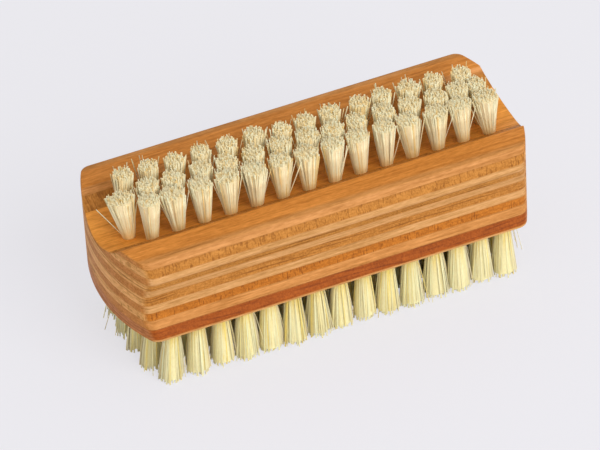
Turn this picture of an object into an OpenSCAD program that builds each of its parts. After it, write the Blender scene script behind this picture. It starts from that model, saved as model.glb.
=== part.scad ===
// Double-sided nail brush: a laminated wooden block with three short rows of
// tufts in a trough along its top and six longer rows below.
// Z = 0 is the plane of the lower bristle tips, X runs along the block.

/* [Block] */
// Length of the block along its middle
block_l = 96.4; // [90:0.2:110]
// Width of the block at its widest
block_w = 38.7; // [37:0.1:46]
// Height of the block from its underside to its rims
block_h = 21.2; // [19:0.1:28]
// Radius of the bowed ends, seen from above
end_bow_r = 38.5; // [36:0.5:90]
// Radius of the four upright corners
corner_r = 3; // [1:0.1:5]

/* [Grip sides] */
// Depth of the finger groove along each long side
groove_depth = 1.95; // [0.6:0.05:2.6]
// Radius of the finger groove
groove_r = 16.5; // [14:0.1:24]
// Height of the finger groove's middle above the underside
groove_up = 8.6; // [7:0.1:10]
// Radius of the rounded upper edges
top_edge_r = 8.2; // [6:0.1:10]
// How far the rounding of the upper edges reaches down the sides
top_edge_drop = 5.2; // [3:0.1:5.5]
// Radius of the eased lower edges
bottom_edge_r = 0.5; // [0.2:0.05:0.6]

/* [Trough] */
// Width of each rim, from its side of the block to the trough
rim_w = 8.05; // [7:0.05:9.5]
// Least thickness that the trough leaves of the third veneer
floor_left = 0.3; // [0.2:0.05:0.6]

/* [Upper tufts] */
// Number of tufts in the upper front and back rows
upper_count = 14; // [8:1:14]
// Distance from the bowed end to the last tuft of the middle row, were it centred
upper_end_margin = 6.2; // [5.6:0.1:9]
// Distance between neighbouring upper rows
upper_row_gap = 5.6; // [5:0.1:6]
// How far the middle row stands in front of the block's middle line
upper_forward = 0.6; // [0:0.1:0.6]
// How far the tips of the outer upper rows lean towards the middle row
upper_lean_in = 0.6; // [0:0.1:0.6]
// How far the tips of all the upper rows lean to the back
upper_lean_back = 0.3; // [0:0.1:0.6]
// How far the upper tufts as a whole sit towards the right end
upper_shift = 0.7; // [0:0.05:1.5]
// How much further along each upper row starts than the row behind it
upper_slip = 0.9; // [0:0.05:1]
// How far the first tuft of the middle row stands in front of its row
upper_first_out = 1.9; // [0:0.1:1.9]
// How much nearer the last tuft of the middle row stands to its neighbour
upper_last_in = 1.6; // [0:0.1:1.6]
// Height of the cut upper tips above the rims
upper_rise = 6.4; // [4:0.1:12]
// Least gap between the tips of neighbouring upper tufts
upper_tuft_gap = 0.65; // [0.4:0.05:1.2]

/* [Lower tufts] */
// Number of tufts in the outermost lower rows
lower_count = 15; // [8:1:15]
// Distance from the side of the block to the middle of the outermost lower row
lower_side_margin = 4.35; // [3.9:0.05:6]
// Distance from the bowed end to the middle of a lower row's last tuft, were the row centred
lower_end_margin = 6.7; // [6:0.1:9]
// How far the lower tufts as a whole sit towards the right end
lower_shift = 0.9; // [0:0.1:1]
// Free length of the lower bristles
lower_pile = 14.8; // [10:0.1:25]
// Least gap between the tips of neighbouring lower tufts
lower_tuft_gap = 0.7; // [0.4:0.05:1.2]
// Length that is trimmed off the lower tips to level them
trim_depth = 0.5; // [0.2:0.1:1]

/* [Holes and anchors] */
// Diameter of the drilled tuft holes
hole_d = 2.8; // [2.4:0.05:3.2]
// How far a tuft hole reaches into the veneer that it ends in
hole_past = 0.45; // [0.2:0.05:0.8]
// Clearance round a tuft's root and its anchor
root_clear = 0.05; // [0.02:0.01:0.12]
// Thickness of the flat metal anchor that a tuft is folded round
anchor_t = 0.35; // [0.2:0.05:0.6]
// Height of the anchor along the hole
anchor_h = 1.6; // [1:0.1:2.2]

/* [Hidden] */
$fn = 96;
// Each veneer's share of the block's height, from the top down
ply_shares = [0.062, 0.096, 0.094, 0.094, 0.097, 0.127, 0.095, 0.094, 0.097, 0.111, 0.033];
// Veneers that the trough cuts into, and those that the upper and the lower holes go through
trough_veneers = 3;
upper_hole_veneer_count = 5;
lower_hole_veneer_count = 3;
// Length by which a cutter runs past what it cuts
overrun = 1;
// A tuft's lean at its tip, and that of the last tufts of a row, outwards
lean_share = 0.10;
end_lean = 1;
// Longest shortfall of an upper strand's tip
ragged = 0.7;
// Width of a strand at its tip as a share of its width at the root
strand_share = 1.15;
// Turn between one tuft and the next, so that no two look alike
golden_turn = 137.5;
// Strands in a tuft, sides of a strand and sides of a tuft's root
strands = 3;
strand_sides = 4;
root_sides = 6;
upper_rows = 3;
lower_rows = 6;

block_z = lower_pile;
block_top = block_z + block_h;
tips_top = block_top + upper_rise;
trough_half = block_w / 2 - rim_w;
trough_depth = block_h * shares_above(trough_veneers) - floor_left;
trough_r = (pow(trough_half, 2) + pow(trough_depth, 2)) / (2 * trough_depth);
trough_axis_z = block_top - trough_depth + trough_r;
bow_x = block_l / 2 - end_bow_r;
corner_y = block_w / 2 - corner_r;
corner_x = bow_x + sqrt(pow(end_bow_r - corner_r, 2) - pow(corner_y, 2));
corner_turn = atan2(corner_y, corner_x - bow_x);
upper_pitch = 2 * (half_length(0) - upper_end_margin) / upper_count;
upper_tip_r = (min(upper_pitch, upper_row_gap - upper_lean_in) - upper_tuft_gap) / 2;
lower_row_gap = (block_w - 2 * lower_side_margin) / (lower_rows - 1);
lower_tip_r = (min([for (row = [0 : lower_rows - 1]) lower_pitch(row)]) - lower_tuft_gap) / 2;
upper_holes_z = ply_bottom(upper_hole_veneer_count - 1) - hole_past;
lower_holes_z = ply_top(len(ply_shares) - lower_hole_veneer_count) + hole_past;
root_r = hole_d / 2 - root_clear;

WOOD_LIGHT = "#DDA56C";
WOOD_DARK = "#A9652E";
FIBRE = "#E6DCB0";
METAL = "#B4B8BC";

// Sum of the first n veneers' shares
function shares_above(n) = n == 0 ? 0 : ply_shares[n - 1] + shares_above(n - 1);
function ply_top(i) = block_top - block_h * shares_above(i);
function ply_bottom(i) = block_top - block_h * shares_above(i + 1);

// Half the block's length at a distance y from its middle line
function half_length(y) = bow_x + sqrt(pow(end_bow_r, 2) - pow(y, 2));
// Height of the trough's surface at a distance y from the middle line
function trough_z(y) = trough_axis_z - sqrt(pow(trough_r, 2) - pow(y, 2));

// Upper rows are counted from the front. The middle one has one tuft more, and its two end
// tufts stand out of line, to clear the bows.
function upper_n(row) = upper_count + row % 2;
function upper_start(row) =
    upper_shift + ((upper_rows - 1) / 2 - row) * upper_slip - (upper_n(row) - 1) / 2 * upper_pitch;
function upper_place(row, i) =
    let (first = row % 2 == 1 && i == 0, last = row % 2 == 1 && i == upper_n(row) - 1)
    [upper_start(row) + i * upper_pitch - (last ? upper_last_in : 0),
     (row - (upper_rows - 1) / 2) * upper_row_gap - upper_forward - (first ? upper_first_out : 0)];
function upper_places(row) = [for (i = [0 : upper_n(row) - 1]) upper_place(row, i)];

// Lower rows are counted from the front, and gain a tuft towards the middle
function lower_y(row) = (row - (lower_rows - 1) / 2) * lower_row_gap;
function lower_n(row) = lower_count + min(row, lower_rows - 1 - row);
function lower_half(row) = half_length(lower_y(row)) - lower_end_margin;
function lower_pitch(row) = 2 * lower_half(row) / (lower_n(row) - 1);
function lower_places(row) =
    [for (i = [0 : lower_n(row) - 1])
        [lower_shift + i * lower_pitch(row) - lower_half(row), lower_y(row)]];

// Everything beyond the bow at the right end
module end_waste() {
    reach = block_l / 2 - half_length(block_w / 2) + overrun;
    difference() {
        translate([block_l / 2 - reach, -block_w / 2 - overrun, block_z - overrun])
            cube([reach + overrun, block_w + 2 * overrun, block_h + 2 * overrun]);
        translate([bow_x, 0, block_z - 2 * overrun])
            cylinder(r = end_bow_r, h = block_h + 4 * overrun);
    }
}

// The sharp corner between the right end's bow and the back side
module corner_waste() {
    far = 3 * corner_r;
    translate([corner_x, corner_y, block_z - overrun])
        difference() {
            linear_extrude(height = block_h + 2 * overrun)
                polygon([
                    [0, 0],
                    [far * cos(corner_turn), far * sin(corner_turn)],
                    [far, far],
                    [0, far]
                ]);
            translate([0, 0, -overrun])
                cylinder(r = corner_r, h = block_h + 4 * overrun);
        }
}

// A cylinder that lies along the block and runs past both its ends
module lengthwise(r) {
    rotate([0, 90, 0])
        cylinder(r = r, h = block_l + 4 * overrun, center = true);
}

// What is cut from the back side: the finger groove and both long edges
module side_waste() {
    translate([0, block_w / 2 + groove_r - groove_depth, block_z + groove_up])
        lengthwise(groove_r);
    edge_waste(top_edge_r, block_top - top_edge_drop, top_edge_drop);
    mirror([0, 0, 1])
        edge_waste(bottom_edge_r, -block_z - bottom_edge_r, bottom_edge_r);
}

// Waste outside a long edge of radius r whose axis is at height z
module edge_waste(r, z, rise) {
    translate([0, block_w / 2 - r, z])
        difference() {
            translate([-block_l / 2 - overrun, 0, 0])
                cube([block_l + 2 * overrun, r + overrun, rise + overrun]);
            lengthwise(r);
        }
}

// All that the maker saws, routs and sands off the glued-up board
module shaping() {
    for (s = [0, 1])
        mirror([s, 0, 0]) {
            end_waste();
            for (t = [0, 1])
                mirror([0, t, 0])
                    corner_waste();
        }
    for (t = [0, 1])
        mirror([0, t, 0])
            side_waste();
    translate([0, 0, trough_axis_z])
        lengthwise(trough_r);
}

// Drilled holes of the upper and lower tufts that reach between two heights
module drilling(low, high) {
    if (upper_holes_z < high)
        for (row = [0 : upper_rows - 1])
            for (place = upper_places(row))
                translate([place[0], place[1], upper_holes_z])
                    cylinder(d = hole_d, h = block_top - upper_holes_z + overrun);
    if (lower_holes_z > low)
        for (row = [0 : lower_rows - 1])
            for (place = lower_places(row))
                translate([place[0], place[1], block_z - overrun])
                    cylinder(d = hole_d, h = lower_holes_z - block_z + overrun);
}

// Veneer number i from the top, over the y range that starts at y0
module veneer(i, y0, width) {
    low = ply_bottom(i);
    high = ply_top(i);
    difference() {
        translate([-block_l / 2, y0, low])
            cube([block_l, width, high - low]);
        shaping();
        drilling(low, high);
    }
}

module whole_ply(i) veneer(i, -block_w / 2, block_w);
module front_ply(i) veneer(i, -block_w / 2, block_w / 2);
module back_ply(i) veneer(i, 0, block_w / 2);

module ply_01_front() color(WOOD_LIGHT) front_ply(0);
module ply_01_back() color(WOOD_LIGHT) back_ply(0);
module ply_02_front() color(WOOD_DARK) front_ply(1);
module ply_02_back() color(WOOD_DARK) back_ply(1);
module ply_03() color(WOOD_LIGHT) whole_ply(2);
module ply_04() color(WOOD_DARK) whole_ply(3);
module ply_05() color(WOOD_LIGHT) whole_ply(4);
module ply_06() color(WOOD_DARK) whole_ply(5);
module ply_07() color(WOOD_LIGHT) whole_ply(6);
module ply_08() color(WOOD_DARK) whole_ply(7);
module ply_09() color(WOOD_LIGHT) whole_ply(8);
module ply_10() color(WOOD_DARK) whole_ply(9);
module ply_11() color(WOOD_LIGHT) whole_ply(10);

// Flat anchors at the blind ends of a row of holes, dir is 1 where holes open upwards
module anchors(places, hole_end, dir) {
    width = hole_d - 2 * root_clear;
    for (place = places)
        translate([place[0], place[1], hole_end + dir * anchor_h / 2])
            cube([width, anchor_t, anchor_h], center = true);
}

module upper_anchors(row) anchors(upper_places(row), upper_holes_z, 1);
module lower_anchors(row) anchors(lower_places(row), lower_holes_z, -1);

module upper_anchors_front() color(METAL) upper_anchors(0);
module upper_anchors_middle() color(METAL) upper_anchors(1);
module upper_anchors_back() color(METAL) upper_anchors(2);
module lower_anchors_1() color(METAL) lower_anchors(0);
module lower_anchors_2() color(METAL) lower_anchors(1);
module lower_anchors_3() color(METAL) lower_anchors(2);
module lower_anchors_4() color(METAL) lower_anchors(3);
module lower_anchors_5() color(METAL) lower_anchors(4);
module lower_anchors_6() color(METAL) lower_anchors(5);

// Corners of a tuft's root at height z, turned by a
function root_ring(z, a) =
    [for (k = [0 : root_sides - 1])
        [root_r * cos(a + k * 360 / root_sides), root_r * sin(a + k * 360 / root_sides), z]];

// Mean of four points
function middle(q) = (q[0] + q[1] + q[2] + q[3]) / strand_sides;

// Foot of strand k on the root's face: the centre and three corners of the ring
function foot(ring, k) =
    [[0, 0, ring[0][2]], ring[2 * k], ring[2 * k + 1], ring[(2 * k + 2) % root_sides]];

// Tip of a strand: its foot spread from the tuft's axis, widened and raised
function tip(q, spread, lean, rise) =
    [for (c = q) let (m = middle(q))
        [m[0] * spread + (c[0] - m[0]) * strand_share + lean[0],
         m[1] * spread + (c[1] - m[1]) * strand_share + lean[1],
         c[2] + rise]];

// Share of the way from a foot to its tip
function between(q, r, share) = [for (j = [0 : len(q) - 1]) q[j] + (r[j] - q[j]) * share];

// Two triangles of the quadrilateral a, b, c, d
function quad(a, b, c, d) = [[a, b, c], [a, c, d]];
function join(lists) = [for (l = lists) each l];

// A root that fills its hole and three four-sided strands that are fused to its face.
// The strands rise from z = 0, the root reaches down to -root_h.
module tuft(root_h, rises, tip_r, lean, turn, kept_share) {
    face = root_ring(0, turn);
    back = root_ring(-root_h, turn);
    reach = norm(middle(foot(face, 0)));
    spread = (tip_r - (root_r - reach) * strand_share) / reach;
    tips = [for (k = [0 : strands - 1])
        let (q = foot(face, k))
        between(q, tip(q, spread, lean, rises[k]), kept_share)];
    points = concat([[0, 0, 0]], face, back, join(tips));
    first_back = 1 + root_sides;
    first_tip = first_back + root_sides;
    sides = join([for (k = [0 : root_sides - 1])
        let (n = (k + 1) % root_sides)
        quad(1 + k, first_back + k, first_back + n, 1 + n)]);
    bottom = [for (k = [1 : root_sides - 2]) [first_back, first_back + k + 1, first_back + k]];
    walls = join([for (k = [0 : strands - 1])
        let (f = [0, 1 + 2 * k, 2 + 2 * k, 1 + (2 * k + 2) % root_sides],
             t = first_tip + strand_sides * k)
        join([for (j = [0 : strand_sides - 1])
            let (n = (j + 1) % strand_sides)
            quad(f[j], f[n], t + n, t + j)])]);
    ends = join([for (k = [0 : strands - 1])
        let (t = first_tip + strand_sides * k)
        quad(t, t + 1, t + 2, t + 3)]);
    // The lists above run anticlockwise seen from outside, and a polyhedron wants clockwise
    polyhedron(
        points = points,
        faces = [for (f = join([sides, bottom, walls, ends])) [f[2], f[1], f[0]]]
    );
}

// Sideways lean of tuft number i, with the last tufts of a row leaning outwards
function lean_of(i, n) =
    let (a = i * golden_turn, s = 2 * i / (n - 1) - 1)
    [lean_share * cos(a) * root_r + end_lean * pow(s, 7), lean_share * sin(a) * root_r];

// Shortfall of strand k of tuft i, between none and the longest
function shortfall(i, k) = ragged * (1 + sin((i * strands + k) * golden_turn)) / 2;

module upper_tufts(row) {
    places = upper_places(row);
    for (i = [0 : len(places) - 1]) {
        face_z = trough_z(places[i][1]);
        root_h = face_z - upper_holes_z - anchor_h - root_clear;
        pile = tips_top - face_z;
        lean = [0, upper_lean_back - (row - (upper_rows - 1) / 2) * upper_lean_in];
        translate([places[i][0], places[i][1], face_z])
            tuft(root_h, [for (k = [0 : strands - 1]) pile - shortfall(i + row, k)],
                 upper_tip_r, lean + lean_of(i, len(places)), i * golden_turn, 1);
    }
}

module lower_tufts(row) {
    places = lower_places(row);
    root_h = lower_holes_z - block_z - anchor_h - root_clear;
    uncut = lower_pile + trim_depth;
    for (i = [0 : len(places) - 1])
        translate([places[i][0], places[i][1], block_z])
            mirror([0, 0, 1])
                tuft(root_h, [for (k = [0 : strands - 1]) uncut],
                     lower_tip_r, lean_of(i, len(places)), (i + row) * golden_turn,
                     lower_pile / uncut);
}

module upper_tufts_front() color(FIBRE) upper_tufts(0);
module upper_tufts_middle() color(FIBRE) upper_tufts(1);
module upper_tufts_back() color(FIBRE) upper_tufts(2);
module lower_tufts_1() color(FIBRE) lower_tufts(0);
module lower_tufts_2() color(FIBRE) lower_tufts(1);
module lower_tufts_3() color(FIBRE) lower_tufts(2);
module lower_tufts_4() color(FIBRE) lower_tufts(3);
module lower_tufts_5() color(FIBRE) lower_tufts(4);
module lower_tufts_6() color(FIBRE) lower_tufts(5);

ply_01_front();
ply_01_back();
ply_02_front();
ply_02_back();
ply_03();
ply_04();
ply_05();
ply_06();
ply_07();
ply_08();
ply_09();
ply_10();
ply_11();
upper_anchors_front();
upper_anchors_middle();
upper_anchors_back();
lower_anchors_1();
lower_anchors_2();
lower_anchors_3();
lower_anchors_4();
lower_anchors_5();
lower_anchors_6();
upper_tufts_front();
upper_tufts_middle();
upper_tufts_back();
lower_tufts_1();
lower_tufts_2();
lower_tufts_3();
lower_tufts_4();
lower_tufts_5();
lower_tufts_6();
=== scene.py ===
"""Nail brush of glued-up veneers, drilled from above and below and filled with tufts of
plant fibre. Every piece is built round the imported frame, in metres."""
import math
from typing import NamedTuple

import bpy
import numpy as np
from bpy.props import FloatProperty, FloatVectorProperty, IntProperty, PointerProperty
from mathutils import Matrix, Vector
from mathutils.geometry import delaunay_2d_cdt


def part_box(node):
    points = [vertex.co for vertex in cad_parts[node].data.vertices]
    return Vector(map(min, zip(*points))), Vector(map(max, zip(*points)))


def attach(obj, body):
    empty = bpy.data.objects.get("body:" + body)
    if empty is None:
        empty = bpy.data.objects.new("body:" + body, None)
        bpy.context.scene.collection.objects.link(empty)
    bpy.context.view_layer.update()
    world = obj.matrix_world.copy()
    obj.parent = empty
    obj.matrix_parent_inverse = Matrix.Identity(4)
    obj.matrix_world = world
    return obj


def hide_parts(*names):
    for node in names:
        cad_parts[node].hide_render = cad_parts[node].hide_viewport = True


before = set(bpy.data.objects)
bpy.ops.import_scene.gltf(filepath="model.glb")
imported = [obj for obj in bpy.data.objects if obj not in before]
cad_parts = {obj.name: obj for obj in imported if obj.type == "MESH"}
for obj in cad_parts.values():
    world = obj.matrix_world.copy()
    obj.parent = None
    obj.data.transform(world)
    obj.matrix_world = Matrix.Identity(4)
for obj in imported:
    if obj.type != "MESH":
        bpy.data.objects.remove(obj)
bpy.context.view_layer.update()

bl_info = {
    "name": "Nail brush",
    "version": (1, 0, 0),
    "blender": (4, 5, 0),
    "location": "3D View > Sidebar > Brush",
    "description": "Builds a laminated nail brush with tufts of plant fibre",
    "category": "Object",
}

MM = 0.001
PLIES = sorted(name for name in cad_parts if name.startswith("ply_"))
PLY_BOXES = np.array([[tuple(corner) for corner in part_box(name)] for name in PLIES])
BLOCK_LOW, BLOCK_HIGH = PLY_BOXES[:, 0].min(axis=0), PLY_BOXES[:, 1].max(axis=0)
GOLDEN_TURN = math.radians(137.5)


def linear(colour):
    """An sRGB hex colour as linear red, green and blue."""
    share = np.array([int(colour[i:i + 2], 16) for i in (1, 3, 5)]) / 255
    return tuple(np.where(share <= 0.04045, share / 12.92, ((share + 0.055) / 1.055) ** 2.4))


def size(name, description, millimetres):
    """A length property, given in millimetres and kept in metres."""
    return FloatProperty(name=name, description=description, default=millimetres * MM,
                         precision=5, unit="LENGTH", subtype="DISTANCE")


def turn(name, description, degrees):
    """An angle property, given in degrees."""
    return FloatProperty(name=name, description=description, default=math.radians(degrees),
                         unit="ROTATION", subtype="ANGLE")


def paint(name, description, colour):
    """A colour property, given as an sRGB hex value."""
    return FloatVectorProperty(name=name, description=description, default=linear(colour),
                               min=0.0, max=1.0, size=3, subtype="COLOR")


class BrushBlock(bpy.types.PropertyGroup):
    """Sizes of the wooden block that its boxes in the frame don't give"""
    bow_radius: size("Bow", "Radius of the bowed ends, seen from above", 38.5)
    corner_radius: size("Corners", "Radius of the upright corners", 2.6)
    groove_depth: size("Groove depth", "Depth of the finger groove along each side", 1.95)
    groove_radius: size("Groove radius", "Radius of the finger groove", 16.5)
    groove_up: size("Groove height", "Height of the groove's middle above the underside", 8.6)
    edge_radius: size("Upper edge", "Radius of the rounded upper edges", 8.2)
    edge_drop: size("Upper edge drop", "How far that rounding reaches down", 5.2)
    rim_width: size("Rim", "Width of each rim beside the trough", 8.05)
    floor_left: size("Floor", "Least thickness of the veneer under the trough", 0.3)
    ease: size("Easing", "Radius that sandpaper leaves on the upper edges", 0.35)
    lower_ease: size("Lower easing", "Radius of the eased lower edges", 0.5)
    hole_width: size("Holes", "Diameter of the drilled tuft holes", 2.8)


class BrushTufts(bpy.types.PropertyGroup):
    """Sizes and numbers of the fibres"""
    upper_fibres: IntProperty(name="Upper fibres", description="Fibres in an upper tuft",
                              default=170)
    lower_fibres: IntProperty(name="Lower fibres", description="Fibres in a lower tuft",
                              default=150)
    fibre_width: size("Fibre", "Mean thickness of a fibre", 0.28)
    upper_spread: size("Upper tips", "Radius of a front upper tuft at its tips", 2.55)
    upper_loss: size("Upper loss", "By how much less each upper row spreads than the one before", 0.2)
    lower_spread: size("Lower tips", "Radius of a lower tuft at its tips", 2.72)
    upper_ragged: size("Upper ends", "How far the upper tips differ in height", 1.3)
    lower_ragged: size("Lower ends", "How far the lower tips differ in height", 2.2)
    upper_scatter: size("Upper scatter", "How far upper tips stray from their even places", 0.17)
    lower_scatter: size("Lower scatter", "How far lower tips stray from their even places", 0.27)
    stray: size("Stray", "How far stray fibres stand out of a tuft", 1.3)
    sway: size("Sway", "How far a tuft's tips stand beside its root, at random", 0.27)
    upper_lean_in: size("Upper lean in", "How far the outer upper rows' tips lean inwards", 0.6)
    upper_lean_back: size("Upper lean back", "How far all the upper tips lean to the back", 0.3)
    first_lean: size("First lean", "Lean of a lower row's first tuft along the row", -0.9)
    last_lean: size("Last lean", "Lean of a lower row's last tuft along the row", -0.1)


class BrushColours(bpy.types.PropertyGroup):
    """Colours of the oiled wood, of the fibres and of the anchors"""
    side_grain: paint("Side grain", "Pale veneer cut along its grain", "#D29A5C")
    warm_grain: paint("Warm grain", "Warmer pale veneer", "#CB8845")
    end_grain: paint("End grain", "Veneer cut across its grain", "#BF7C30")
    brown_grain: paint("Brown end grain", "Darker veneer with growth rings", "#BE7E2F")
    russet_grain: paint("Russet end grain", "Orange veneer with dark ticks", "#BC6E1B")
    red_grain: paint("Red end grain", "Reddish veneer near the underside", "#A14E09")
    face_grain: paint("Face grain", "Broad face of the top veneer", "#D08232")
    floor_grain: paint("Floor grain", "Face of the veneer in the trough", "#E6963A")
    dark_end: paint("Dark end", "Pale veneer where it ends in the bowed ends", "#C07A32")
    pale_end: paint("Pale end", "Crossed veneer along the bowed ends", "#DC9E57")
    red_end: paint("Red end", "Reddish veneer along the bowed ends", "#B9733D")
    seam: paint("Seam", "Wood soaked with glue where two veneers meet", "#C0813F")
    short_tip: paint("Short fibre", "Bleached fibre of the upper tufts", "#FFEFC1")
    # The root colours are painted shade and painted bounce light near the wood
    short_root_shade: paint("Short root", "Yellower fibre near the trough", "#F2CF84")
    short_streak: paint("Short streak", "Unbleached fibre in the upper tufts", "#F3CB7A")
    long_tip: paint("Long fibre", "Bleached fibre of the lower tufts", "#FFF5BC")
    # The root colours are painted shade and painted bounce light near the wood
    long_root_shade: paint("Long root", "Yellower fibre near the underside", "#F0CE50")
    long_streak: paint("Long streak", "Unbleached fibre in the lower tufts", "#F8DA5C")
    steel: paint("Anchor", "Bright steel strip", "#B9BCC0")


class BrushStage(bpy.types.PropertyGroup):
    """Camera, lamps and floor"""
    azimuth: turn("Azimuth", "Turn of the camera's view from the Y axis towards X", 20.865)
    elevation: turn("Elevation", "Angle at which the camera looks down", 40.911)
    roll: turn("Roll", "Turn of the camera round its own axis", 3.393)
    distance: size("Distance", "From the aim to the camera", 1184.22)
    aim_x: size("Aim X", "Place that the camera looks at, along the block", -4.819)
    aim_y: size("Aim Y", "Place that the camera looks at, across the block", -8.358)
    aim_down: size("Aim down", "How far that place lies below the rims", 10.993)
    focal_length: FloatProperty(name="Focal length", description="Length of the lens in mm",
                                default=333.78, unit="CAMERA")
    floor: paint("Floor", "Pale floor", "#EEEDF2")
    lamp_power: FloatProperty(name="Key lamp", description="Power of the soft key lamp in watts",
                              default=10.8, unit="POWER")
    sky_strength: FloatProperty(name="Sky", description="Strength of the even light from all sides",
                                default=0.59)


def block_settings():
    """Sizes of the block, as set in the sidebar."""
    return bpy.context.scene.brush_block


def tuft_settings():
    """Sizes and numbers of the fibres, as set in the sidebar."""
    return bpy.context.scene.brush_tufts


# Shape of the block

# Steps along a quarter of a veneer's outline: from the middle line to the trough's edge, from
# there to the upright corner, the same for a strip, and round the corner
CREASE_STEPS = 8
END_STEPS = 12
STRIP_STEPS = 18
CORNER_STEPS = 10
# Rows of points up a veneer's wall, and points round the rim of a hole
WALL_ROWS = 10
RIM_POINTS = 20
# Points on the trough's floor: their distance along it, their rows across it, and the points
# along each of its edges
FLOOR_STEP = 1.7 * MM
FLOOR_ROWS = 19
EDGE_POINTS = 300
# Two lengths that differ by less are the same
TINY = 1e-6


def eased(depth, radius):
    """How far a rounded edge draws a wall in, at a depth below the edge: a quarter circle."""
    left = np.clip(radius - depth, 0, radius)
    return radius - np.sqrt(radius ** 2 - left ** 2)


def side_y(z, block):
    """Half the block's width at height z: the lesser of the finger groove's circle and the
    upper edge's circle, joined by a smooth minimum, -k log(exp(-a / k) + exp(-b / k))."""
    middle = BLOCK_LOW[2] + block.groove_up
    half = BLOCK_HIGH[1]
    groove_side = block.groove_radius - block.groove_depth
    groove = half + groove_side - np.sqrt(block.groove_radius ** 2 - (z - middle) ** 2)
    above = np.maximum(0, z - BLOCK_HIGH[2] + block.edge_drop)
    edge = half - block.edge_radius + np.sqrt(block.edge_radius ** 2 - above ** 2)
    blend = 0.1 * MM
    lesser = np.minimum(groove, edge)
    return lesser - blend * np.log(np.exp((lesser - groove) / blend)
                                   + np.exp((lesser - edge) / blend))


def trough_circle(block):
    """Radius and axis height of the cutter that leaves the trough."""
    half = BLOCK_HIGH[1] - block.rim_width
    deep = BLOCK_HIGH[2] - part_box("ply_03")[0].z - block.floor_left
    radius = (half ** 2 + deep ** 2) / (2 * deep)
    return radius, BLOCK_HIGH[2] - deep + radius


def surface_z(y, block):
    """Height of the block's upper surface: the rims' plane, or the trough's circle below it."""
    radius, axis = trough_circle(block)
    inside = np.sqrt(np.maximum(0, radius ** 2 - y ** 2))
    return np.where(np.abs(y) < radius, np.minimum(BLOCK_HIGH[2], axis - inside), BLOCK_HIGH[2])


def trough_y(z, block):
    """Half the trough's width at height z."""
    radius, axis = trough_circle(block)
    return np.sqrt(np.maximum(0, radius ** 2 - (axis - z) ** 2))


def quarter_outline(low, high, rows, inner, block):
    """A quarter of a veneer's walls, from its right end round to its back side. Rows run
    upwards, at (1 - cos(pi t)) / 2 of the height. Along a row the wall follows the end's bow, a
    circle, and then the upright corner, a smaller circle that touches the bow and the side.
    With inner set, the bow starts at the trough's wall, and otherwise on the middle line."""
    level = (1 - np.cos(np.pi * np.linspace(0, 1, rows)))[:, None] / 2
    z = low + (high - low) * level
    bow, corner = block.bow_radius, block.corner_radius
    bow_x = BLOCK_HIGH[0] - bow
    width = side_y(z, block)
    drawn_in = eased(BLOCK_HIGH[2] - z, block.ease) + eased(z - BLOCK_LOW[2], block.lower_ease)
    corner_y = width - corner
    corner_x = bow_x + np.sqrt((bow - corner) ** 2 - corner_y ** 2)
    meet = np.arctan2(corner_y, corner_x - bow_x)
    meet_y = (bow - drawn_in) * np.sin(meet)

    if inner:
        start = trough_y(z, block) + eased(BLOCK_HIGH[2] - z, block.ease)
        y = start + (meet_y - start) * np.linspace(0, 1, STRIP_STEPS) ** 2
        height = np.broadcast_to(z, y.shape)
    else:
        crease = float(trough_y(high, block))
        before = np.linspace(0, crease, CREASE_STEPS if crease else 0, endpoint=False)
        y = np.hstack([before + 0 * z, crease + (meet_y - crease) * np.linspace(0, 1, END_STEPS)])
        height = low + (np.minimum(high, surface_z(y, block)) - low) * level
    depth = surface_z(y, block) - height
    end_in = eased(depth, block.ease) + eased(height - BLOCK_LOW[2], block.lower_ease)
    x = bow_x + np.sqrt((bow - end_in) ** 2 - y ** 2)

    angle = meet + (np.pi / 2 - meet) * np.linspace(0, 1, CORNER_STEPS)[1:]
    round_x = corner_x + (corner - drawn_in) * np.cos(angle)
    round_y = corner_y + (corner - drawn_in) * np.sin(angle)
    return np.stack([np.hstack([x, round_x]), np.hstack([y, round_y]),
                     np.hstack([height, np.broadcast_to(z, round_x.shape)])], axis=-1)


def whole_outline(quarter):
    """Four mirrored quarters as one loop that runs anticlockwise, seen from above."""
    left = quarter[:, ::-1] * (-1, 1, 1)
    front_left = quarter[:, 1:] * (-1, -1, 1)
    front_right = quarter[:, :0:-1] * (1, -1, 1)
    return np.concatenate([quarter, left, front_left, front_right], axis=1)


def strip_outline(quarter, side):
    """Two mirrored quarters as one loop. The loop's last edge is the trough's wall, and the
    front strip is the back one mirrored, so its loop is turned round."""
    loop = np.concatenate([quarter, quarter[:, ::-1] * (-1, 1, 1)], axis=1)
    return loop if side > 0 else loop[:, ::-1] * (1, -1, 1)


def neighbours(count):
    """Pairs of numbers of neighbouring points round a closed loop."""
    here = np.arange(count)
    return np.stack([here, np.roll(here, -1)], axis=1)


def wall_faces(rows, count):
    """Quadrilaterals of a closed wall whose rows run upwards and anticlockwise."""
    low = neighbours(count) + np.arange(rows - 1)[:, None, None] * count
    return np.concatenate([low, low[..., ::-1] + count], axis=-1).reshape(-1, 4)


def cap_triangles(loop, rims, inside):
    """Triangles that fill a loop round the rims of its holes, as indices into loop, rims and
    inside stacked in that order. A constrained Delaunay triangulation in plan, from which the
    triangles that join three points of one rim are left out."""
    hole_count, rim_count = rims.shape[:2]
    plan = np.vstack([loop[:, :2], rims[..., :2].reshape(-1, 2), inside[:, :2]]) / MM
    first = len(loop) + rim_count * np.arange(hole_count)
    rim_edges = neighbours(rim_count) + first[:, None, None]
    edges = np.vstack([neighbours(len(loop)), rim_edges.reshape(-1, 2)])
    _, _, faces, sources, _, _ = delaunay_2d_cdt(
        [Vector(point) for point in plan.tolist()], edges.astype(int).tolist(), [], 1, 1e-7)
    triangles = np.array([found[0] for found in sources])[np.array(faces)]
    # Each point's rim by number, which is below 0 on the loop and past the last rim inside it
    rim = (triangles - len(loop)) // rim_count
    on_rim = (rim[:, 0] >= 0) & (rim[:, 0] < hole_count)
    return triangles[~(on_rim & (rim == rim[:, :1]).all(axis=1))]


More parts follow.
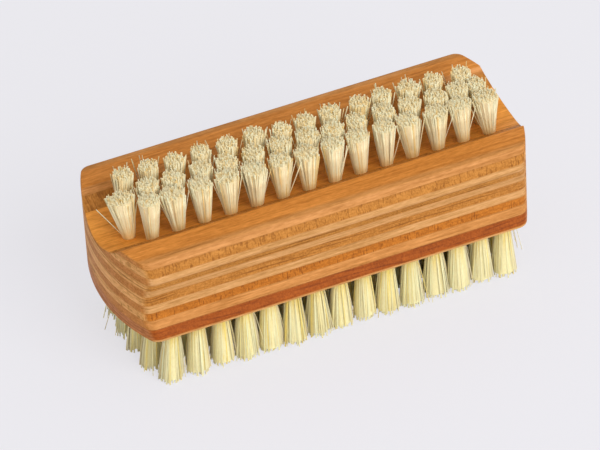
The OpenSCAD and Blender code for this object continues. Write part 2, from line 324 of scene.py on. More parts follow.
def anchor_places(node):
    """Middles of a row's anchors as x and y, and the heights of their two ends. Each anchor is
    a box, so its points have two x values."""
    points = np.array([v.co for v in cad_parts[node].data.vertices])
    ends, which = np.unique(np.round(points[:, 0], 6), return_inverse=True)
    boxes = [points[which.ravel() // 2 == number] for number in range(len(ends) // 2)]
    middles = np.array([(own.min(axis=0) + own.max(axis=0)) / 2 for own in boxes])
    return middles[:, :2], points[:, 2].min(), points[:, 2].max()


def drilled_holes():
    """Every hole as x, y, the height of its blind end, and 1 where it opens upwards or -1
    where it opens downwards."""
    rows = []
    for node in sorted(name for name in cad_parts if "_anchors_" in name):
        places, low, high = anchor_places(node)
        upper = node.startswith("upper")
        rest = (low, 1) if upper else (high, -1)
        rows.append(np.hstack([places, np.tile(rest, (len(places), 1))]))
    return np.vstack(rows)


def trough_grid(high, holes, block):
    """Points on the trough's floor, clear of the holes, so that the floor's curve shows, and a
    close row of points along each of its two edges, where the floor meets the veneer's top."""
    edge = float(trough_y(high, block))
    bow_x = BLOCK_HIGH[0] - block.bow_radius

    def clear_points(along, across, margin, gap):
        """Points of a grid that keep a margin to the block's ends and a gap to the holes."""
        x, y = (grid.ravel() for grid in np.meshgrid(along, across))
        end = bow_x + np.sqrt(block.bow_radius ** 2 - y ** 2) - margin
        apart = np.hypot(x[:, None] - holes[:, 0], y[:, None] - holes[:, 1]).min(axis=1)
        keep = (np.abs(x) < end) & (apart > block.hole_width / 2 + gap)
        return np.stack([x[keep], y[keep]], axis=1)

    inner = edge - 0.4 * MM
    end = bow_x + np.sqrt(block.bow_radius ** 2 - edge ** 2)
    plan = np.vstack([
        clear_points(np.arange(BLOCK_LOW[0], BLOCK_HIGH[0], FLOOR_STEP),
                     np.linspace(-inner, inner, FLOOR_ROWS), 0.9 * MM, 0.3 * MM),
        clear_points(np.linspace(-end, end, EDGE_POINTS)[1:-1], (-edge, edge), 0, 0.1 * MM)])
    return np.column_stack([plan, np.minimum(high, surface_z(plan[:, 1], block))])


def veneer_surface(node, block):
    """Points and faces of one veneer: its wall, its two caps and the walls and blind ends of
    the holes drilled in it."""
    low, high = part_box(node)[0].z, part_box(node)[1].z
    side = {"front": -1, "back": 1}.get(node.rsplit("_", 1)[1], 0)
    quarter = quarter_outline(low, high, WALL_ROWS, side != 0, block)
    loop = strip_outline(quarter, side) if side else whole_outline(quarter)
    count = loop.shape[1]
    wall = loop.reshape(-1, 3)

    # A strip stays whole: the front row's holes only touch its thin edge, under their tufts
    holes = drilled_holes()[:0 if side else None]
    upward = holes[:, 3] > 0
    holes = holes[np.where(upward, holes[:, 2] < high - TINY, holes[:, 2] > low + TINY)]
    upward = holes[:, 3] > 0
    through = np.where(upward, holes[:, 2] < low + TINY, holes[:, 2] > high - TINY)
    open_top, open_bottom = upward | through, ~upward | through

    turn_steps = np.linspace(0, 2 * np.pi, RIM_POINTS, endpoint=False)
    rim = np.stack([np.cos(turn_steps), np.sin(turn_steps)], axis=1) * block.hole_width / 2
    plan = holes[:, None, :2] + rim
    top_z = np.minimum(high, surface_z(plan[..., 1], block))
    top_z = np.where(open_top[:, None], top_z, holes[:, 2:3])
    bottom_z = np.where(open_bottom, low, holes[:, 2])[:, None] + 0 * top_z
    tops = np.concatenate([plan, top_z[..., None]], axis=-1)
    bottoms = np.concatenate([plan, bottom_z[..., None]], axis=-1)

    curved = not side and surface_z(0.0, block) < high - TINY
    inside = trough_grid(high, holes, block) if curved else np.zeros((0, 3))

    points = np.vstack([wall, tops.reshape(-1, 3), bottoms.reshape(-1, 3), inside])
    rim_numbers = len(wall) + np.arange(2 * len(holes) * RIM_POINTS)
    top_rims, bottom_rims = rim_numbers.reshape(2, len(holes), RIM_POINTS)

    def cap(row, rims, numbers, is_open, extra):
        """Triangles of a cap from the wall's row, the rims of open holes and further points."""
        border = np.arange(count) + row * count
        triangles = cap_triangles(points[border], rims[is_open], extra)
        last = np.arange(len(points) - len(extra), len(points))
        return np.concatenate([border, numbers[is_open].ravel(), last])[triangles]

    top = cap(WALL_ROWS - 1, tops, top_rims, open_top, inside)
    bottom = cap(0, bottoms, bottom_rims, open_bottom, inside[:0])[:, ::-1]
    after = np.roll(np.arange(RIM_POINTS), -1)
    bores = np.stack([bottom_rims[:, after], bottom_rims, top_rims, top_rims[:, after]],
                     axis=-1).reshape(-1, 4)
    ends = np.vstack([bottom_rims[~open_bottom], top_rims[~open_top][:, ::-1]])
    return points, [wall_faces(WALL_ROWS, count), bores, top, bottom, ends]


def build_mesh(name, points, faces, material, flat=0):
    """A mesh object at the origin from points and lists of faces with 3, 4 or more corners. It
    is shaded smooth, apart from its last flat faces."""
    mesh = bpy.data.meshes.new(name)
    faces = [group for group in faces if len(group)]
    corners = np.concatenate([group.ravel() for group in faces]).astype(np.int32)
    sides = np.concatenate([np.full(len(group), group.shape[1]) for group in faces])
    mesh.vertices.add(len(points))
    mesh.vertices.foreach_set("co", points.astype(np.float32).ravel())
    mesh.loops.add(len(corners))
    mesh.loops.foreach_set("vertex_index", corners)
    mesh.polygons.add(len(sides))
    mesh.polygons.foreach_set("loop_start", (np.cumsum(sides) - sides).astype(np.int32))
    mesh.update(calc_edges=True)
    mesh.polygons.foreach_set("use_smooth", np.arange(len(sides)) < len(sides) - flat)
    mesh.materials.append(material)
    piece = bpy.data.objects.new(name, mesh)
    bpy.context.collection.objects.link(piece)
    return piece


def fit(piece, slot, *nodes):
    """Makes a piece ride on the frame's one body, in place of its CAD nodes."""
    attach(piece, "root")
    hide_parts(*nodes)


# Materials

def add(tree, kind, inputs=(), **settings):
    """Adds a shader node with its settings. inputs are values for those that it then uses, in
    their order, or for some of them by name. A node among the values is linked by the first
    output that it uses, and a colour is opaque."""
    made = tree.nodes.new("ShaderNode" + kind)
    for name, value in settings.items():
        setattr(made, name, value)
    if isinstance(inputs, dict):
        sockets, inputs = [made.inputs[name] for name in inputs], inputs.values()
    else:
        sockets = [socket for socket in made.inputs if socket.enabled]
    for socket, value in zip(sockets, inputs):
        if isinstance(value, bpy.types.Node):
            value = next(output for output in value.outputs if output.enabled)
        if isinstance(value, bpy.types.NodeSocket):
            tree.links.new(value, socket)
        else:
            socket.default_value = (*value, 1.0) if socket.type == "RGBA" else value
    return made


def new_material(name):
    """A material, its node tree, and the coordinates and normals of its pieces."""
    material = bpy.data.materials.new(name)
    material.use_nodes = True
    tree = material.node_tree
    tree.nodes.clear()
    return material, tree, add(tree, "TexCoord").outputs


def scale_for(*sizes):
    """Scale at which a pattern's features measure so many millimetres along X, Y and Z."""
    return [1 / (length * MM) for length in sizes]


# How a value is eased from one range into another, how two colours are mixed, and how one
# colours the other
SMOOTH = {"interpolation_type": "SMOOTHSTEP"}
MIXED = {"data_type": "RGBA"}
COLOURED = {"data_type": "RGBA", "blend_type": "MULTIPLY"}


def oiled_beech(name, side, end, face, seam, along_x, rings, ticks, seed, low, top):
    """Beech veneer, knife-cut, glued, sawn and sanded, then oiled: a satin surface that shows
    fine fibre lines along the grain, short dark ticks where the grain ends in the surface, and
    soft growth rings. side, end and face are the colours on the long sides, on the ends and on
    top, because the same veneer drinks more oil where its grain ends. The glue makes a dark
    line at a crossed veneer's top, and soaks 0.3 mm into both, in the colour seam."""
    material, tree, place = new_material(name)
    moved = add(tree, "Mapping", {"Vector": place["Object"],
                                  "Location": (seed * 0.137, seed * 0.071, seed * 0.053)})
    # Noises, each with the size of its features in mm along the grain, across it and upwards,
    # and with its detail
    noises = {"lines": (15, 0.45, 0.4, 3), "streaks": (40, 4.5, 1.8, 2),
              "pores": (1.6, 0.4, 0.35, 2), "blotches": (7, 1.3, 0.6, 1),
              "flecks": (9, 0.36, 1.5, 1), "patches": (30, 7, 6, 1),
              "bends": (60, 24, 5, 1), "fading": (50, 14, 1.2, 1)}
    for word, (along, across, up, detail) in noises.items():
        flat = (along, across) if along_x else (across, along)
        stretched = add(tree, "Mapping", {"Vector": moved, "Scale": scale_for(*flat, up)})
        noises[word] = add(tree, "TexNoise", {"Vector": stretched, "Scale": 1.0,
                                              "Detail": detail, "Roughness": 0.6})

    # The broad face shows where the wood faces up, clear of the long sides' rounding
    normal = add(tree, "SeparateXYZ", (place["Normal"],))
    spot = add(tree, "SeparateXYZ", (place["Object"],))
    level = spot.outputs["Z"]
    endwards, upwards, outwards = (
        add(tree, "Math", (value,), operation="ABSOLUTE")
        for value in (normal.outputs["X"], normal.outputs["Z"], spot.outputs["Y"]))
    endwards = add(tree, "MapRange", (endwards, 0.45, 0.85, 0, 1), **SMOOTH)
    upwards = add(tree, "MapRange", (upwards, 0.72, 0.90, 0, 1), **SMOOTH)
    inwards = add(tree, "MapRange", (outwards, BLOCK_HIGH[1] - 3.9 * MM,
                                     BLOCK_HIGH[1] - 2.5 * MM, 1, 0), **SMOOTH)
    below = add(tree, "Math", (top, level), operation="SUBTRACT")
    above = add(tree, "Math", (level, low), operation="SUBTRACT")
    soaked = add(tree, "Math", (below, above), operation="MINIMUM")
    soaked = add(tree, "MapRange", (soaked, 0, 0.3 * MM, 0.5, 0), **SMOOTH)
    base = add(tree, "Mix", (soaked, side, seam), **MIXED)
    base = add(tree, "Mix", (endwards, base, end), **MIXED)
    broad = add(tree, "Math", (upwards, inwards), operation="MULTIPLY")
    base = add(tree, "Mix", (broad, base, face), **MIXED)

    # Fibre lines 0.4 mm apart, slow streaks, pores of 0.4 mm and blotches 7 mm long, each with
    # the strength of its tone
    strengths = {"lines": 0.85, "streaks": 0.70, "pores": 0.75, "blotches": 0.55}
    tone = 1 - sum(strengths.values()) / 2
    for word, strength in strengths.items():
        tone = add(tree, "Math", (noises[word], strength, tone), operation="MULTIPLY_ADD")

    # Ray flecks and vessel ends: dashes 0.35 mm wide and 1.5 mm tall, in patches
    patches = add(tree, "Math", (noises["patches"], 0.25), operation="MULTIPLY")
    flecks = add(tree, "Math", (noises["flecks"], patches), operation="ADD")
    flecks = add(tree, "MapRange", (flecks, 0.68, 0.80, 1, 1 - ticks), **SMOOTH)
    tone = add(tree, "Math", (tone, flecks), operation="MULTIPLY")

    # Growth rings: thin dark lines 0.95 mm apart that fall slowly through the veneer and fade
    # in and out, bent by slow noise
    bends = add(tree, "Math", (noises["bends"], 3.2), operation="MULTIPLY")
    climb = add(tree, "Math", (spot.outputs["Y" if along_x else "X"], 1 / (42 * MM), bends),
                operation="MULTIPLY_ADD")
    phase = add(tree, "Math", (level, 1 / (0.95 * MM), climb), operation="MULTIPLY_ADD")
    phase = add(tree, "Math", (phase, 2 * math.pi), operation="MULTIPLY")
    wave = add(tree, "Math", (phase,), operation="SINE")
    wave = add(tree, "MapRange", (wave, 0.1, 1.0, 0, 1), **SMOOTH)
    fading = add(tree, "MapRange", (noises["fading"], 0.40, 0.62, 0, rings), **SMOOTH)
    lines = add(tree, "Math", (wave, fading), operation="MULTIPLY")
    lines = add(tree, "Math", (1.0, lines), operation="SUBTRACT")
    tone = add(tree, "Math", (tone, lines), operation="MULTIPLY")

    # The dark glue line, 0.5 mm deep, along a crossed veneer's top
    glue = add(tree, "MapRange", (below, 0, 0.5 * MM, 1.0 if along_x else 0.86, 1.0), **SMOOTH)
    tone = add(tree, "Math", (tone, glue), operation="MULTIPLY")

    # Dark lines are redder than the wood between them, so blue falls off faster than red
    red, blue = (add(tree, "Math", (tone, power), operation="POWER") for power in (0.8, 1.6))
    tint = add(tree, "CombineColor", (red, tone, blue))
    colour = add(tree, "Mix", (1.0, base, tint), clamp_result=True, **COLOURED)
    gloss = add(tree, "MapRange", (tone, 0.8, 1.2, 0.62, 0.50), **SMOOTH)
    bump = add(tree, "Bump", {"Height": tone, "Strength": 0.3, "Distance": 0.06 * MM})
    shader = add(tree, "BsdfPrincipled", {"Base Color": colour, "Roughness": gloss, "IOR": 1.4,
                                          "Specular IOR Level": 0.35, "Normal": bump})
    add(tree, "OutputMaterial", {"Surface": shader})
    return material


def plant_fibre(name, tip, root, streak):
    """Bleached agave fibre, combed and cut: dry, slightly glossy hairs that differ from one to the
    next, a few of them less bleached all the way. Near the wood the colour turns darker and yellower:
    painted shade, with painted light bounced between the hairs."""
    material, tree, place = new_material(name)
    along, each, hue = (add(tree, "Attribute", attribute_name=word).outputs["Fac"]
                        for word in ("along", "tone", "hue"))
    # Painted shade: the colour turns darker and yellower over the four tenths of the way nearest the
    # wood
    shade_near_root = add(tree, "MapRange", (along, 0.0, 0.4), **SMOOTH)
    base = add(tree, "Mix", (shade_near_root, root, tip), **MIXED)
    # Streak colour on the hairs of high hue: unbleached fibres at random, and more of them on rows
    # behind others, as painted shade
    yellow = add(tree, "MapRange", (hue, 0.66, 1.0, 0.0, 0.9))
    base = add(tree, "Mix", (yellow, base, streak), **MIXED)
    # Blotches on the hairs
    stretched = add(tree, "Mapping", {"Vector": place["Object"],
                                      "Scale": scale_for(0.4, 0.4, 0.833)})
    blotch = add(tree, "TexNoise", {"Vector": stretched, "Scale": 1.0, "Detail": 2.0})
    blotch = add(tree, "MapRange", (blotch, 0.3, 0.7, 0.95, 1.05))
    level = add(tree, "MapRange", (each, 0.0, 1.0, 0.92, 1.10))
    tone = add(tree, "Math", (level, blotch), operation="MULTIPLY")
    blue = add(tree, "Math", (tone, 1.7), operation="POWER")
    tint = add(tree, "CombineColor", (tone, tone, blue))
    colour = add(tree, "Mix", (1.0, base, tint), clamp_result=True, **COLOURED)
    # The finest hairs on a fibre's skin give it a soft sheen
    shader = add(tree, "BsdfPrincipled", {
        "Base Color": colour, "Roughness": 0.5, "IOR": 1.5, "Sheen Weight": 0.9,
        "Sheen Roughness": 0.45, "Sheen Tint": linear("#FFEFCB")})
    add(tree, "OutputMaterial", {"Surface": shader})
    return material


def brushed_steel(name, colour):
    """Steel strip, rolled and cropped: fine scratches along its length and a dull shine."""
    material, tree, place = new_material(name)
    # Scratches 0.05 mm apart
    stretched = add(tree, "Mapping", {"Vector": place["Object"],
                                      "Scale": scale_for(2, 0.05, 0.05)})
    scratch = add(tree, "TexNoise", {"Vector": stretched, "Scale": 1.0})
    gloss = add(tree, "MapRange", (scratch, 0.3, 0.7, 0.25, 0.45))
    shade = add(tree, "MapRange", (scratch, 0.3, 0.7, 0.85, 1.0))
    tinted = add(tree, "Mix", (1.0, colour, shade), **COLOURED)
    shader = add(tree, "BsdfPrincipled", {"Base Color": tinted, "Metallic": 1.0,
                                          "Roughness": gloss})
    add(tree, "OutputMaterial", {"Surface": shader})
    return material


def seen_directly(tree):
    """1 for what the camera sees, directly or in gloss or glass, and 0 for light that falls on
    other surfaces."""
    path = add(tree, "LightPath").outputs
    glossy = add(tree, "Math", (path["Is Camera Ray"], path["Is Glossy Ray"]),
                 operation="MAXIMUM")
    return add(tree, "Math", (glossy, path["Is Transmission Ray"]), operation="MAXIMUM")


def painted_board(name, colour):
    """White board, matt painted and evenly lit: a pale floor on which a shadow is faint, because
    most of what the eye sees of it is its own colour."""
    material, tree, place = new_material(name)
    # Clouds a third of a metre wide
    cloud = add(tree, "TexNoise", {"Vector": place["Object"], "Scale": 3.0})
    level = add(tree, "MapRange", (cloud, 0.0, 1.0, 0.985, 1.0))
    shade = add(tree, "Mix", (1.0, colour, level), **COLOURED)
    shader = add(tree, "BsdfPrincipled", {"Base Color": shade, "Roughness": 0.8})
    plain = add(tree, "Emission", {"Color": colour, "Strength": 1.0})
    share = add(tree, "Math", (seen_directly(tree), 0.75), operation="MULTIPLY")
    both = add(tree, "MixShader", (share, shader, plain))
    add(tree, "OutputMaterial", {"Surface": both})
    return material


# Fibres

class TuftKind(NamedTuple):
    """What the tufts on one side of the block have in common: how many fibres each has, how far
    their tips differ in height and stray from their even places, the power at which they fan
    out, the tufts' radius across the row as a share of that along it, and how far the normals
    lean along the fibres at their tips."""
    count: int
    ragged: float
    scatter: float
    fan: float
    across: float
    crown: float


# Corners of a fibre's rings, and where the rings lie, as shares of the way from the wood's
# surface to the tip
TUBE_SIDES = 5
RING_SHARES = np.array([-0.14, 0.0, 0.28, 0.62, 0.91, 1.0])
# Points round a core, two to a rib, where its rings lie, and its share of the tuft's radius
CORE_POINTS = 96
CORE_SHARES = np.array([-0.1, 0.0, 0.25, 0.5, 0.75, 0.93])
CORE_FILL = 0.94
# Share of stray fibres, and the furthest that they stand out, in units of the usual distance
STRAY_SHARE = 0.05
STRAY_LIMIT = 1.8
# By how much tufts differ in radius, and in their width along and across the row, as shares
RADIUS_SPREAD = 0.07
SQUEEZE = 0.04
# How far the middle of a fibre bends aside
BEND = 0.08 * MM
# Thinnest and thickest fibre, and by how much one is thicker at its foot and at its tip, all in
# units of the mean thickness
THINNEST, THICKEST = 0.6, 1.2
AT_FOOT, AT_TIP = 0.95, 1.22
# How much of a ring's own normal is left in a fibre's normals
OWN_NORMAL = 0.35


def tube_faces(shape):
    """Walls and ends of tubes that run towards their tips, whose points have this shape, tube
    by ring by corner."""
    index = np.arange(math.prod(shape[:3])).reshape(shape[:3])
    after = np.roll(index, -1, axis=2)
    walls = np.stack([index[:, :-1], after[:, :-1], after[:, 1:], index[:, 1:]], axis=-1)
    return walls.reshape(-1, 4), np.vstack([index[:, -1], index[:, 0, ::-1]])


def fibre_surface(path, radius, outwards, crown):
    """Tubes round many paths at once. path is fibre by ring by xyz, and radius is fibre by ring.
    Each ring is a circle in the plane square to its path. The normals lean from the circle's own
    towards outwards, which is given for each fibre, because a tuft is lit as one round brush
    more than as single hairs. On the last two rings they lean by crown along the fibre, because
    there the hairs at the far side are seen too."""
    heading = np.gradient(path, axis=1)
    heading /= np.linalg.norm(heading, axis=-1, keepdims=True)
    first = np.cross(heading, (0.0, 1.0, 0.0))
    first /= np.linalg.norm(first, axis=-1, keepdims=True)
    second = np.cross(heading, first)
    angle = np.linspace(0, 2 * np.pi, TUBE_SIDES, endpoint=False)
    ring = (np.cos(angle)[:, None] * first[:, :, None] + np.sin(angle)[:, None] * second[:, :, None])
    points = path[:, :, None] + ring * radius[:, :, None, None]
    at_tip = (np.arange(len(RING_SHARES)) >= len(RING_SHARES) - 2)[:, None, None] * crown
    normals = ring * OWN_NORMAL + outwards[:, None, None] * (1 - at_tip) + heading[:, :, None] * at_tip
    walls, ends = tube_faces(points.shape)
    return points.reshape(-1, 3), walls, ends, normals.reshape(-1, 3)


def fibre_paths(places, face_z, tip_z, kind, reach, lean, rng):
    """Centre lines of all the fibres of a row, how far each stands out from its tuft's middle,
    as a vector, which of them are strays, and how far each tuft leans. In a tuft they stand like
    a sunflower's seeds, at a golden turn and at a radius that grows with the square root of
    their number. From its foot to its tip each moves outwards by (share of the way) ** fan.
    reach and lean give each tuft's radius and shift at its tips, along and across the row."""
    block, tufts = block_settings(), tuft_settings()
    total, each = len(places), (len(places), kind.count)
    number = np.arange(kind.count)
    share = np.sqrt((number + 0.5) / kind.count)[None, :, None]
    angle = number * GOLDEN_TURN + rng.uniform(0, 2 * np.pi, (total, 1))
    circle = np.stack([np.cos(angle), np.sin(angle)], axis=-1)
    root_r = block.hole_width / 2 - tufts.fibre_width * 0.45
    foot = places[:, None] + circle * (root_r * share)

    reach = reach * rng.uniform(1 - RADIUS_SPREAD, 1 + RADIUS_SPREAD, (total, 1))
    squeeze = 1 + rng.normal(0, SQUEEZE, (total, 1, 2))
    tip = places[:, None] + circle * squeeze * reach[:, None] * share
    lean = lean + rng.normal(0, tufts.sway, (total, 2))
    tip = tip + lean[:, None] + rng.normal(0, kind.scatter, (*each, 2))
    # Strays stand out further from the first and the last tuft
    stray = rng.random((*each, 1)) < STRAY_SHARE
    outer = 1 + 0.6 * np.abs(np.linspace(-1, 1, total))[:, None, None] ** 9
    stands_out = np.abs(rng.normal(0, tufts.stray, (*each, 1)))
    tip = tip + stray * circle * outer * np.minimum(stands_out, STRAY_LIMIT * tufts.stray)

    bow = rng.normal(0, BEND, (*each, 1, 2))
    shortfall = kind.ragged * rng.random(each) ** 2
    end_z = tip_z + np.sign(face_z - tip_z)[:, None] * shortfall
    step = np.clip(RING_SHARES, 0, 1)[:, None]
    plan = (foot[:, :, None] + (tip - foot)[:, :, None] * step ** kind.fan
            + bow * np.sin(np.pi * step))
    z = face_z[:, None, None] + (end_z - face_z[:, None])[..., None] * RING_SHARES
    path = np.concatenate([plan, z[..., None]], axis=-1).reshape(-1, len(RING_SHARES), 3)
    outwards = np.append(circle * share, np.zeros((*each, 1)), axis=-1)
    return path, outwards.reshape(-1, 3), stray.reshape(-1, 1), lean


def core_surface(places, face_z, tip_z, kind, reach, lean):
    """The close-packed middle of each tuft of a row, under its outer fibres: rings of ribbed
    circles, 1 + 0.025 cos(ribs x angle), whose radius grows from the hole's to the tips' by
    (share of the way) ** fan, closed by a flat end below the tips."""
    root_r = block_settings().hole_width / 2 - tuft_settings().fibre_width
    angle = np.linspace(0, 2 * np.pi, CORE_POINTS, endpoint=False)
    ribbed = 1 + 0.025 * np.cos(angle * CORE_POINTS / 2)
    circle = np.stack([np.cos(angle), np.sin(angle)], axis=-1) * ribbed[:, None]
    step = np.clip(CORE_SHARES, 0, 1)[:, None] ** kind.fan
    radius = root_r + (reach[:, None] * CORE_FILL - root_r) * step
    middle = places[:, None] + lean[:, None] * step
    plan = middle[:, :, None] + circle * radius[:, :, None]
    z = face_z[:, None, None] + (tip_z - face_z)[:, None, None] * CORE_SHARES[:, None]
    points = np.concatenate([plan, np.broadcast_to(z[..., None], (*plan.shape[:3], 1))], axis=-1)
    outwards = np.broadcast_to(np.append(circle, np.zeros((CORE_POINTS, 1)), axis=1), points.shape)
    walls, ends = tube_faces(points.shape)
    return points.reshape(-1, 3), walls, ends, outwards.reshape(-1, 3)


def give_points(mesh, name, kind, values):
    """Stores a number or a vector for every point of a mesh."""
    word = "vector" if kind == "FLOAT_VECTOR" else "value"
    mesh.attributes.new(name, kind, "POINT").data.foreach_set(word, values.astype(np.float32).ravel())


def tuft_row(name, node, anchors, tip_z, kind, spread, leans, ends, material, seed,
             lean_across=0.0, least_hue_as_shade=0.0):
    """One row of tufts, as one piece. leans are how far the first and the last tuft's tips stand along
    the row from their roots. ends multiplies their radius along the row, as one factor or as two. The
    least hue is the least share of the unbleached streak colour, from 0 to 1; rows that stand behind
    others get more of it, as painted shade."""
    rng = np.random.default_rng(seed)
    places, _, _ = anchor_places(anchors)
    upper = tip_z > BLOCK_HIGH[2]
    face_z = (surface_z(places[:, 1], block_settings()) if upper
              else np.full(len(places), BLOCK_LOW[2]))
    # Only the outermost tufts lean along the row, because of the seventh power
    near_ends = np.clip(np.linspace(-1, 1, len(places)) * [[-1], [1]], 0, 1) ** 7
    lean = np.stack([leans @ near_ends, np.full(len(places), lean_across)], axis=1)
    reach = spread * np.array([1.0, kind.across]) + 0 * places
    reach[[0, -1], 0] *= ends

    path, outwards, stray, lean = fibre_paths(places, face_z, tip_z, kind, reach, lean, rng)
    fibres = len(path)
    # Strays are thinner by four tenths
    radius = (tuft_settings().fibre_width / 2 * rng.uniform(THINNEST, THICKEST, (fibres, 1))
              * (AT_FOOT + (AT_TIP - AT_FOOT) * np.clip(RING_SHARES, 0, 1)) * (1 - 0.4 * stray))
    points, walls, tips, normals = fibre_surface(path, radius, outwards, kind.crown)
    core, core_walls, core_ends, core_normals = core_surface(places, face_z, tip_z, kind, reach, lean)
    # A core that hangs down is built from its root too, which turns its faces inside out
    order = 1 if upper else -1
    faces = [walls, (core_walls + len(points))[:, ::order],
             tips, (core_ends + len(points))[:, ::order]]
    piece = build_mesh(name, np.vstack([points, core]), faces, material, len(tips) + len(core_ends))
    normals = np.vstack([normals, core_normals])
    give_points(piece.data, "custom_normal", "FLOAT_VECTOR",
                normals / np.linalg.norm(normals, axis=1, keepdims=True))

    # What the material reads: the share of the way to the tip, and each fibre's tone and hue. The core
    # reads as nearer the root than it lies and takes a little streak colour, which paints shade in the
    # gaps between the fibres.
    tone, hue = rng.random(fibres), least_hue_as_shade + (1 - least_hue_as_shade) * rng.random(fibres)
    looks = {"along": (RING_SHARES[:, None], np.clip(CORE_SHARES, 0, 1)[:, None] * 0.6),
             "tone": (tone[:, None, None], 0.5),
             "hue": (hue[:, None, None], max(0.7, least_hue_as_shade + 0.2))}
    shapes = ((*path.shape[:2], TUBE_SIDES), (len(places), len(CORE_SHARES), CORE_POINTS))
    for word, own in looks.items():
        values = [np.broadcast_to(value, shape).ravel() for value, shape in zip(own, shapes)]
        give_points(piece.data, word, "FLOAT", np.concatenate(values))
    fit(piece, "plant_fibre", node)


# Operators

class BRUSH_OT_veneers(bpy.types.Operator):
    """Glue up the block from its veneers and drill it"""
    bl_idname = "brush.veneers"
    bl_label = "Veneers"

    def execute(self, context):
        block, colours = block_settings(), context.scene.brush_colours
        pale, warm, deep = colours.side_grain, colours.warm_grain, colours.end_grain
        brown, red, russet = colours.brown_grain, colours.red_grain, colours.russet_grain
        # Colour on the long sides, strength of the growth rings and of the ticks
        finishes = [(warm, 0.0, 0.10), (deep, 0.0, 0.36), (pale, 0.0, 0.08), (brown, 0.50, 0.10),
                    (pale, 0.08, 0.08), (deep, 0.46, 0.14), (pale, 0.0, 0.08), (russet, 0.16, 0.46),
                    (warm, 0.07, 0.08), (red, 0.34, 0.12), (pale, 0.0, 0.08)]
        faces_up = {1: colours.face_grain, 3: colours.floor_grain}
        ends = {10: colours.red_end}
        for node in PLIES:
            number = int(node.split("_")[1])
            side, rings, ticks = finishes[number - 1]
            along_x = number % 2 == 1
            name = f"oiled_beech_{number:02d}"
            material = bpy.data.materials.get(name) or oiled_beech(
                name, side, ends.get(number, colours.dark_end if along_x else colours.pale_end),
                faces_up.get(number, side), colours.seam, along_x, rings, ticks, number,
                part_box(node)[0].z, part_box(node)[1].z)
            points, faces = veneer_surface(node, block)
            piece = build_mesh(node.replace("ply", "veneer"), points, faces, material)
            piece.data.set_sharp_from_angle(angle=math.radians(24))
            fit(piece, "veneer_light" if along_x else "veneer_dark", node)
        return {"FINISHED"}


class BRUSH_OT_upper_tufts(bpy.types.Operator):
    """Fill the trough's three rows of holes with short tufts"""
    bl_idname = "brush.upper_tufts"
    bl_label = "Upper tufts"

    def execute(self, context):
        tufts, colours = tuft_settings(), context.scene.brush_colours
        material = plant_fibre("agave_fibre_short", colours.short_tip, colours.short_root_shade,
                               colours.short_streak)
        kind = TuftKind(tufts.upper_fibres, tufts.upper_ragged, tufts.upper_scatter, fan=1.0,
                        across=1.0, crown=0.8)
        # How far the first and the last tuft lean, their extra width, and the least hue, which the
        # rows behind raise as painted shade
        rows = {"front": ((0, 0), 1.0, 0.0),
                "middle": ((-1.2 * MM, -1.0 * MM), (1.35, 0.75), 0.25),
                "back": ((0, 0), 1.0, 0.45)}
        for number, (row, (leans, ends, least_hue_as_shade)) in enumerate(rows.items()):
            node = f"upper_tufts_{row}"
            tuft_row(f"short_tufts_{row}", node, f"upper_anchors_{row}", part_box(node)[1].z, kind,
                     tufts.upper_spread - tufts.upper_loss * number, leans, ends, material,
                     11 + number, tufts.upper_lean_back - tufts.upper_lean_in * (number - 1),
                     least_hue_as_shade)
        return {"FINISHED"}


class BRUSH_OT_lower_tufts(bpy.types.Operator):
    """Fill the six rows of holes in the underside with long tufts"""
    bl_idname = "brush.lower_tufts"
    bl_label = "Lower tufts"

    def execute(self, context):
        tufts, colours = tuft_settings(), context.scene.brush_colours
        material = plant_fibre("agave_fibre_long", colours.long_tip, colours.long_root_shade,
                               colours.long_streak)
        kind = TuftKind(tufts.lower_fibres, tufts.lower_ragged, tufts.lower_scatter, fan=0.75,
                        across=0.8, crown=0.3)
        # The rows behind the first take more of the streak colour, as painted shade
        for row in range(1, 7):
            node = f"lower_tufts_{row}"
            tuft_row(f"long_tufts_{row}", node, f"lower_anchors_{row}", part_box(node)[0].z, kind,
                     tufts.lower_spread, (tufts.first_lean, tufts.last_lean), 1.0, material,
                     20 + row, least_hue_as_shade=0.0 if row == 1 else 0.45)
        return {"FINISHED"}


class BRUSH_OT_anchors(bpy.types.Operator):
    """Give the flat anchors in the holes their steel"""
    bl_idname = "brush.anchors"
    bl_label = "Anchors"

    def execute(self, context):
        steel = brushed_steel("rolled_steel_strip", context.scene.brush_colours.steel)
        for name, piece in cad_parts.items():
            if "_anchors_" in name:
                piece.data.materials.clear()
                piece.data.materials.append(steel)
        return {"FINISHED"}


class BRUSH_OT_stage(bpy.types.Operator):
    """Set the floor, the lamps and the camera"""
    bl_idname = "brush.stage"
    bl_label = "Stage"

    def execute(self, context):
        scene, stage = context.scene, context.scene.brush_stage
        scene.view_settings.view_transform = "Standard"
        place_camera(scene, stage)
        place_floor(stage)
        place_lamp("key_lamp", stage.lamp_power, 0.9, (0.32, -1.0, 0.8))
        light_sky(scene, stage)
        return {"FINISHED"}


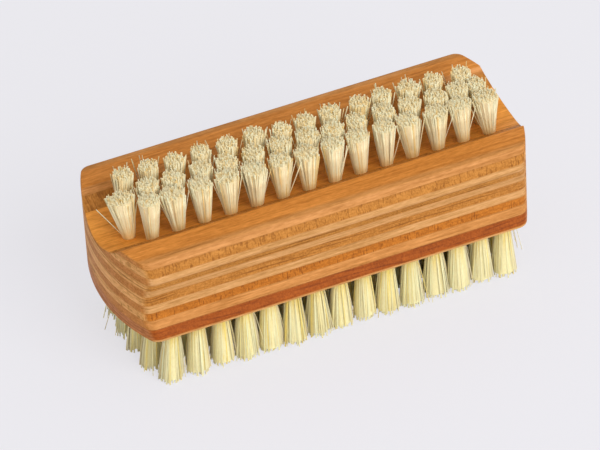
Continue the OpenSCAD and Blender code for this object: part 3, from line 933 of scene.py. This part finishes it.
def place_camera(scene, stage):
    """Looks at the aim from the photograph's azimuth, elevation, roll and distance."""
    a, e, roll = stage.azimuth, stage.elevation, stage.roll
    ahead = Vector((math.sin(a) * math.cos(e), math.cos(a) * math.cos(e), -math.sin(e)))
    level = Vector((math.cos(a), -math.sin(a), 0.0))
    upright = level.cross(ahead)
    right = level * math.cos(roll) - upright * math.sin(roll)
    up = upright * math.cos(roll) + level * math.sin(roll)
    aim = Vector((stage.aim_x, stage.aim_y, BLOCK_HIGH[2] - stage.aim_down))
    camera = bpy.data.objects.new("camera", bpy.data.cameras.new("camera"))
    camera.matrix_world = Matrix((right, up, -ahead)).transposed().to_4x4()
    camera.location = aim - ahead * stage.distance
    camera.data.sensor_width = 36.0
    camera.data.lens = stage.focal_length
    camera.data.clip_start, camera.data.clip_end = 0.05, 20.0
    bpy.context.collection.objects.link(camera)
    scene.camera = camera


def place_floor(stage):
    """A flat square of board, three metres a side, at the level of the lower tips."""
    half = 1.5
    points = np.array([(-half, -half, 0), (half, -half, 0), (half, half, 0), (-half, half, 0)])
    floor = build_mesh("floor", points, [np.array([[0, 1, 2, 3]])],
                       painted_board("painted_board", stage.floor))


def place_lamp(name, power, width, direction):
    """A square soft lamp in a direction from the brush, turned to face it."""
    lamp = bpy.data.lights.new(name, "AREA")
    lamp.energy, lamp.size = power, width
    carrier = bpy.data.objects.new(name, lamp)
    towards = Vector(direction)
    carrier.location = towards
    carrier.rotation_mode = "QUATERNION"
    carrier.rotation_quaternion = (-towards).to_track_quat("-Z", "Y")
    bpy.context.collection.objects.link(carrier)


def light_sky(scene, stage):
    """Even white light from all sides, which looks like the pale floor where it shows."""
    world = bpy.data.worlds.new("soft_sky")
    world.use_nodes = True
    tree = world.node_tree
    tree.nodes.clear()
    light = add(tree, "Background", {"Color": (1, 1, 1), "Strength": stage.sky_strength})
    shown = add(tree, "Background", {"Color": stage.floor, "Strength": 1.0})
    either = add(tree, "MixShader", (seen_directly(tree), light, shown))
    add(tree, "OutputWorld", {"Surface": either})
    scene.world = world


class BRUSH_PT_sidebar(bpy.types.Panel):
    """Lists what the brush is made of"""
    bl_idname = "BRUSH_PT_sidebar"
    bl_label = "Nail brush"
    bl_space_type = "VIEW_3D"
    bl_region_type = "UI"
    bl_category = "Brush"

    def draw(self, context):
        for maker in MAKERS:
            self.layout.operator(maker.bl_idname)
        for name in SETTINGS:
            group = getattr(context.scene, name)
            box = self.layout.box()
            for key in group.bl_rna.properties.keys():
                if key not in ("rna_type", "name"):
                    box.prop(group, key)


MAKERS = (BRUSH_OT_stage, BRUSH_OT_veneers, BRUSH_OT_anchors, BRUSH_OT_upper_tufts,
          BRUSH_OT_lower_tufts)
SETTINGS = {"brush_block": BrushBlock, "brush_tufts": BrushTufts,
            "brush_colours": BrushColours, "brush_stage": BrushStage}


def register():
    for name, group in SETTINGS.items():
        bpy.utils.register_class(group)
        setattr(bpy.types.Scene, name, PointerProperty(type=group))
    for maker in (*MAKERS, BRUSH_PT_sidebar):
        bpy.utils.register_class(maker)


def unregister():
    for maker in (BRUSH_PT_sidebar, *reversed(MAKERS)):
        bpy.utils.unregister_class(maker)
    for name, group in SETTINGS.items():
        delattr(bpy.types.Scene, name)
        bpy.utils.unregister_class(group)


def main():
    register()
    bpy.ops.brush.stage()
    bpy.ops.brush.veneers()
    bpy.ops.brush.anchors()
    bpy.ops.brush.upper_tufts()
    bpy.ops.brush.lower_tufts()


if __name__ == "__main__":
    main()
